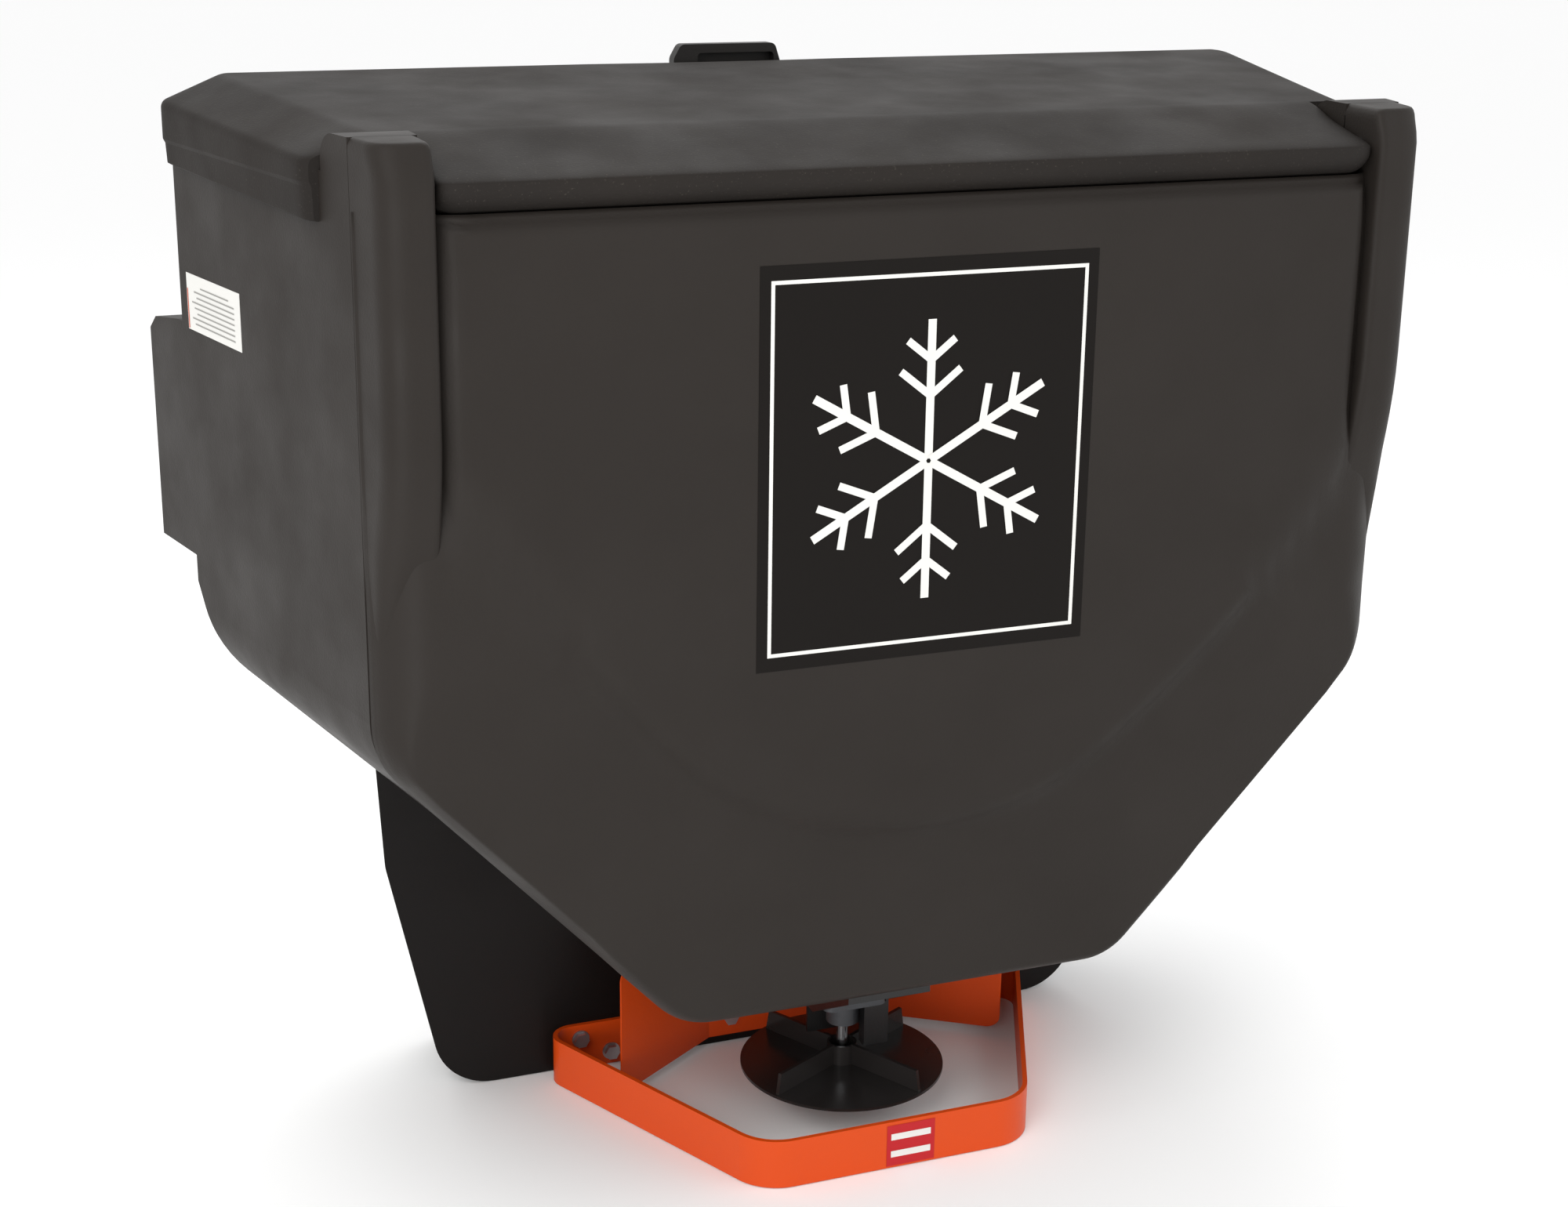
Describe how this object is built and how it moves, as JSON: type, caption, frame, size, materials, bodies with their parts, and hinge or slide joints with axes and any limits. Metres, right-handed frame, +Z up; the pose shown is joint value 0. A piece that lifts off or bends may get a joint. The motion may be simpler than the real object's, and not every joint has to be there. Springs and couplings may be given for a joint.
{
  "type": "tailgate_salt_spreader",
  "caption": "Tailgate salt spreader with moulded hopper, hinged lid, rear latch, orange spinner guard, deflector, spinning disc and gear motor drive",
  "frame": {"origin": "Middle of the machine's footprint on the ground plane, at the height of the guard band's lower edge.", "axes": "+X to the right when looking at the spinner side from behind the truck, +Y towards the truck, +Z up."},
  "size_m": [1.227, 0.572, 1.064],
  "materials": {
    "hopper_plastic": "satin",
    "housing_plastic": "satin",
    "lid_plastic": "satin",
    "black_plastic": "satin",
    "gasket_foam": "matte",
    "seal_rubber": "matte",
    "zinc_steel": "satin",
    "bright_steel": "polished",
    "latch_plastic": "satin",
    "stainless_sheet": "satin",
    "chute_black": "satin",
    "gear_cast": "matte",
    "motor_paint": "gloss",
    "disc_gloss": "gloss",
    "orange_coat": "satin",
    "plate_coat": "satin",
    "decal_film": "satin",
    "label_film": "gloss"
  },
  "bodies": {
    "chassis": {"hopper_shell": "hopper_plastic", "front_shell": "hopper_plastic", "drive_housing": "housing_plastic", "housing_cover": "housing_plastic", "cover_screws": "zinc_steel", "cable_gland": "black_plastic", "lid_gasket": "gasket_foam", "hinge_rod": "bright_steel", "latch_bracket": "zinc_steel", "latch_pin": "bright_steel", "bracket_screws": "zinc_steel", "discharge_chute": "chute_black", "feed_guide": "chute_black", "chute_bolts": "zinc_steel", "gearbox_housing": "gear_cast", "gearbox_cover": "gear_cast", "gearbox_bolts": "zinc_steel", "lower_bearing": "bright_steel", "shaft_seal": "seal_rubber", "motor_can": "motor_paint", "motor_end_cap": "black_plastic", "guard_band": "orange_coat", "guard_bolts": "zinc_steel", "guard_washers": "zinc_steel", "guard_nuts": "zinc_steel", "deflector": "orange_coat", "deflector_bolts": "zinc_steel", "deflector_nuts": "zinc_steel", "mount_plate": "plate_coat", "mount_plate_bolts": "zinc_steel", "front_decal": "decal_film", "side_label": "label_film"},
    "lid_body": {"lid": "lid_plastic", "lid_strike": "zinc_steel"},
    "latch_body": {"latch_handle": "latch_plastic"},
    "gate_body": {"feed_gate": "stainless_sheet"},
    "rotor_body": {"motor_rotor": "bright_steel"},
    "spinner_body": {"spinner_shaft": "bright_steel", "spinner_disc": "disc_gloss", "spinner_pin": "zinc_steel", "agitator": "zinc_steel"}
  },
  "joints": [
    {"name": "lid_hinge", "type": "hinge", "parent": "chassis", "child": "lid_body", "pos_m": [0, -0.246, 0.997], "axis": [1, 0, 0], "range_deg": [0, 100]},
    {"name": "latch_pivot", "type": "hinge", "parent": "chassis", "child": "latch_body", "pos_m": [-0.02, 0.2075, 0.94], "axis": [-1, 0, 0], "range_deg": [0, 75]},
    {"name": "gate_slide", "type": "slide", "parent": "chassis", "child": "gate_body", "axis": [-1, 0, 0], "range_m": [0, 0.066]},
    {"name": "spinner_spin", "type": "hinge", "parent": "chassis", "child": "spinner_body", "pos_m": [0, -0.105, 0.06], "axis": [0, 0, 1], "continuous": true},
    {"name": "rotor_spin", "type": "hinge", "parent": "chassis", "child": "rotor_body", "pos_m": [0, 0, 0.16], "axis": [0, 1, 0], "continuous": true}
  ],
  "couplings": [
    {"joint": "rotor_spin", "follows": "spinner_spin", "ratio": 20}
  ]
}
